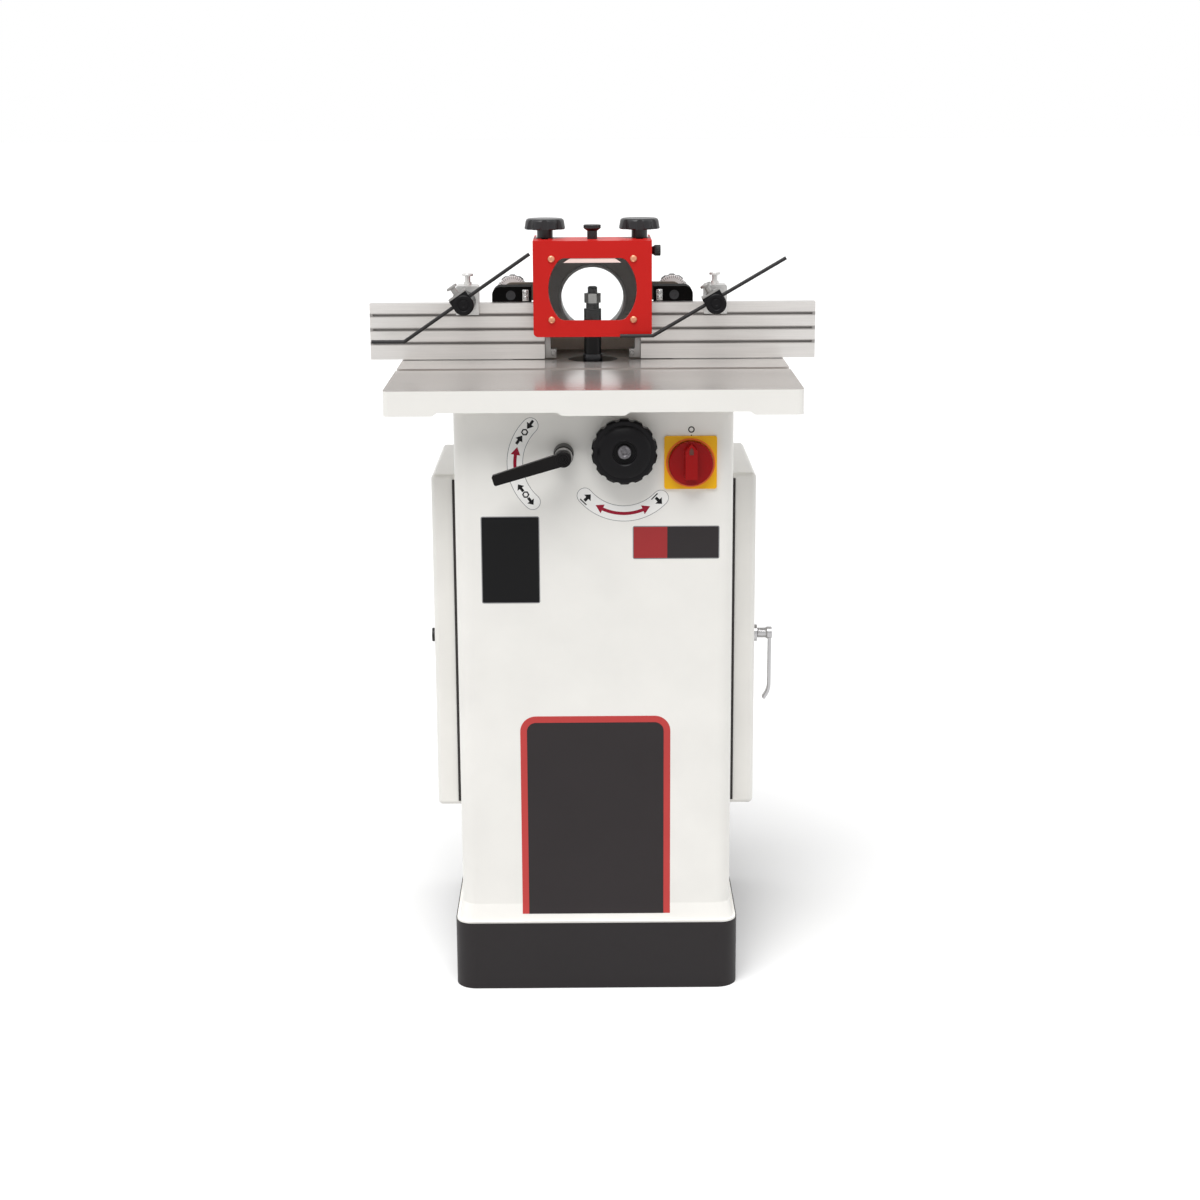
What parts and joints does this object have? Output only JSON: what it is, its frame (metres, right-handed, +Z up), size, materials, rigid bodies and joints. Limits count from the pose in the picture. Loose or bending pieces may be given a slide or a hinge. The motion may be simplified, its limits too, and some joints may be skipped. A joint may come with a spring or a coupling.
{
  "type": "spindle moulder",
  "caption": "Floor-standing spindle moulder: ground iron table on a white cabinet, rising vertical spindle, split aluminium fence, red windowed guard and sprung-rod hold-downs.",
  "frame": {"origin": "floor level, at the centre of the plinth", "axes": "+Z up, +X to the operator's right, -Y towards the operator who stands at the controls, +Y towards the dust port"},
  "size_m": [0.592, 0.484, 0.975],
  "materials": {
    "white_paint": "smooth gloss enamel",
    "charcoal_paint": "fine textured enamel",
    "table_iron": "ground top with white enamelled edges",
    "bright_steel": "turned and polished",
    "dark_steel": "black oxide",
    "latch_chrome": "bright plating",
    "fence_aluminium": "natural extrusion",
    "hood_grey": "dark grey paint",
    "port_grey": "moulded",
    "guard_red": "gloss powder coat",
    "black_plastic": "moulded, slight sheen",
    "black_iron": "black paint",
    "switch_yellow": "moulded",
    "switch_red": "moulded",
    "lens_clear": "clear polycarbonate sheet",
    "belt_rubber": "fabric-backed",
    "grey_iron": "as cast, grey primer",
    "motor_alloy": "painted finned alloy",
    "pulley_alloy": "turned",
    "screw_copper": "copper-toned plating"
  },
  "bodies": {
    "frame": {"base_plinth": "charcoal_paint", "cabinet_shell": "white_paint", "hinge_pins": "bright_steel", "table": "table_iron", "insert_ring": "bright_steel", "frame_bolts": "bright_steel", "quill_housing": "grey_iron", "switch_plate": "switch_yellow", "switch_body": "black_plastic", "dust_hood": "hood_grey", "dust_port": "port_grey", "cable_gland": "black_plastic"},
    "door_right": {"door_right": "white_paint", "latch_collar": "latch_chrome"},
    "latch": {"latch_handle": "latch_chrome"},
    "door_left": {"door_left": "white_paint"},
    "door_lock": {"door_lock": "dark_steel"},
    "quill": {"quill": "bright_steel", "spindle_bearings": "bright_steel", "motor_bracket": "grey_iron", "motor": "motor_alloy", "drive_belt": "belt_rubber"},
    "spindle": {"spindle": "bright_steel", "spindle_collars": "dark_steel", "spindle_washer": "dark_steel", "spindle_nut": "bright_steel", "spindle_pulley": "pulley_alloy"},
    "motor_rotor": {"motor_shaft": "bright_steel", "motor_pulley": "pulley_alloy"},
    "handwheel": {"handwheel": "black_plastic", "handwheel_cap": "bright_steel", "pinion_shaft": "bright_steel"},
    "clamp": {"clamp_lever": "black_plastic", "clamp_stud": "bright_steel"},
    "switch": {"switch_knob": "switch_red"},
    "guard": {"guard": "guard_red", "guard_lens": "lens_clear", "guard_screws": "screw_copper"},
    "hood_knob": {"hood_knob": "black_plastic"},
    "side_knob": {"side_knob": "black_plastic"},
    "guard_knob_left": {"guard_knob_left": "black_plastic"},
    "guard_knob_right": {"guard_knob_right": "black_plastic"},
    "carrier_left": {"carrier_left": "black_iron"},
    "adjust_left": {"adjust_knob_left": "black_plastic"},
    "fence_left": {"fence_left": "fence_aluminium", "fence_cap_left": "fence_aluminium", "hold_block_left": "bright_steel"},
    "block_screw_left": {"block_screw_left": "bright_steel"},
    "post_left": {"hold_post_left": "black_plastic"},
    "rod_screw_left": {"rod_screw_left": "bright_steel"},
    "rod_left": {"hold_rod_left": "dark_steel"},
    "carrier_right": {"carrier_right": "black_iron"},
    "adjust_right": {"adjust_knob_right": "black_plastic"},
    "fence_right": {"fence_right": "fence_aluminium", "fence_cap_right": "fence_aluminium", "hold_block_right": "bright_steel"},
    "block_screw_right": {"block_screw_right": "bright_steel"},
    "post_right": {"hold_post_right": "black_plastic"},
    "rod_screw_right": {"rod_screw_right": "bright_steel"},
    "rod_right": {"hold_rod_right": "dark_steel"}
  },
  "joints": [
    {"name": "spindle_raise", "type": "slide", "parent": "frame", "child": "quill", "axis": [0, 0, 1], "range_m": [-0.036, 0.04]},
    {"name": "motor_spin", "type": "hinge", "parent": "quill", "child": "motor_rotor", "pos_m": [0, -0.09, 0.47], "axis": [0, 0, 1], "continuous": true},
    {"name": "spindle_spin", "type": "hinge", "parent": "quill", "child": "spindle", "pos_m": [0, 0.06, 0.6], "axis": [0, 0, 1], "continuous": true},
    {"name": "handwheel_turn", "type": "hinge", "parent": "frame", "child": "handwheel", "pos_m": [0.0375, -0.2, 0.711], "axis": [0, 1, 0], "range_deg": [-207, 230]},
    {"name": "clamp_turn", "type": "hinge", "parent": "frame", "child": "clamp", "pos_m": [-0.037, -0.2, 0.706], "axis": [0, 1, 0], "range_deg": [-40, 25]},
    {"name": "switch_turn", "type": "hinge", "parent": "frame", "child": "switch", "pos_m": [0.1195, -0.2, 0.693], "axis": [0, 1, 0], "range_deg": [0, 90]},
    {"name": "door_right_swing", "type": "hinge", "parent": "frame", "child": "door_right", "pos_m": [0.1815, 0.122, 0.447], "axis": [0, 0, 1], "range_deg": [0, 110]},
    {"name": "latch_turn", "type": "hinge", "parent": "door_right", "child": "latch", "pos_m": [0.2065, -0.092, 0.45], "axis": [1, 0, 0], "range_deg": [0, 90]},
    {"name": "door_left_swing", "type": "hinge", "parent": "frame", "child": "door_left", "pos_m": [-0.1815, 0.122, 0.447], "axis": [0, 0, -1], "range_deg": [0, 110]},
    {"name": "lock_turn", "type": "hinge", "parent": "door_left", "child": "door_lock", "pos_m": [-0.2065, -0.092, 0.45], "axis": [-1, 0, 0], "range_deg": [0, 90]},
    {"name": "guard_slide", "type": "slide", "parent": "frame", "child": "guard", "axis": [0, 1, 0], "range_m": [0, 0.025]},
    {"name": "hood_knob_turn", "type": "hinge", "parent": "guard", "child": "hood_knob", "pos_m": [0, 0.048, 0.96], "axis": [0, 0, 1], "range_deg": [0, 360]},
    {"name": "side_knob_turn", "type": "hinge", "parent": "guard", "child": "side_knob", "pos_m": [0.085, 0.095, 0.9305], "axis": [1, 0, 0], "range_deg": [0, 360]},
    {"name": "guard_knob_left_turn", "type": "hinge", "parent": "frame", "child": "guard_knob_left", "pos_m": [-0.0625, 0.07, 0.965], "axis": [0, 0, 1], "range_deg": [0, 360]},
    {"name": "guard_knob_right_turn", "type": "hinge", "parent": "frame", "child": "guard_knob_right", "pos_m": [0.0625, 0.07, 0.965], "axis": [0, 0, 1], "range_deg": [0, 360]},
    {"name": "adjust_left_turn", "type": "hinge", "parent": "frame", "child": "adjust_left", "pos_m": [-0.109, 0.14, 0.8735], "axis": [0, 1, 0], "range_deg": [-1445, 1445]},
    {"name": "fence_left_depth", "type": "slide", "parent": "frame", "child": "carrier_left", "axis": [0, 1, 0], "range_m": [-0.006, 0.006]},
    {"name": "fence_left_slide", "type": "slide", "parent": "carrier_left", "child": "fence_left", "axis": [1, 0, 0], "range_m": [-0.02, 0.035]},
    {"name": "block_screw_left_turn", "type": "hinge", "parent": "fence_left", "child": "block_screw_left", "pos_m": [-0.1655, 0.064, 0.89], "axis": [0, 0, 1], "range_deg": [0, 360]},
    {"name": "post_left_turn", "type": "hinge", "parent": "fence_left", "child": "post_left", "pos_m": [-0.1675, 0, 0.869], "axis": [0, 1, 0], "range_deg": [-6, 25]},
    {"name": "rod_screw_left_turn", "type": "hinge", "parent": "post_left", "child": "rod_screw_left", "pos_m": [-0.17315, 0, 0.87725], "axis": [-0.565, 0, 0.8251], "range_deg": [0, 360]},
    {"name": "rod_left_slide", "type": "slide", "parent": "post_left", "child": "rod_left", "axis": [0.8251, 0, 0.565], "range_m": [-0.01, 0.03]},
    {"name": "adjust_right_turn", "type": "hinge", "parent": "frame", "child": "adjust_right", "pos_m": [0.109, 0.14, 0.8735], "axis": [0, 1, 0], "range_deg": [-1445, 1445]},
    {"name": "fence_right_depth", "type": "slide", "parent": "frame", "child": "carrier_right", "axis": [0, 1, 0], "range_m": [-0.006, 0.006]},
    {"name": "fence_right_slide", "type": "slide", "parent": "carrier_right", "child": "fence_right", "axis": [-1, 0, 0], "range_m": [-0.02, 0.035]},
    {"name": "block_screw_right_turn", "type": "hinge", "parent": "fence_right", "child": "block_screw_right", "pos_m": [0.1625, 0.064, 0.89], "axis": [0, 0, 1], "range_deg": [0, 360]},
    {"name": "post_right_turn", "type": "hinge", "parent": "fence_right", "child": "post_right", "pos_m": [0.1605, 0, 0.869], "axis": [0, 1, 0], "range_deg": [-6, 25]},
    {"name": "rod_screw_right_turn", "type": "hinge", "parent": "post_right", "child": "rod_screw_right", "pos_m": [0.15549, 0, 0.87765], "axis": [-0.5015, 0, 0.8652], "range_deg": [0, 360]},
    {"name": "rod_right_slide", "type": "slide", "parent": "post_right", "child": "rod_right", "axis": [0.8652, 0, 0.5015], "range_m": [-0.01, 0.03]}
  ],
  "couplings": [
    {"joint": "handwheel_turn", "follows": "spindle_raise", "rad_per_m": 100},
    {"joint": "spindle_spin", "follows": "motor_spin", "ratio": 2},
    {"joint": "adjust_left_turn", "follows": "fence_left_depth", "rad_per_m": -4188.8},
    {"joint": "adjust_right_turn", "follows": "fence_right_depth", "rad_per_m": -4188.8}
  ]
}
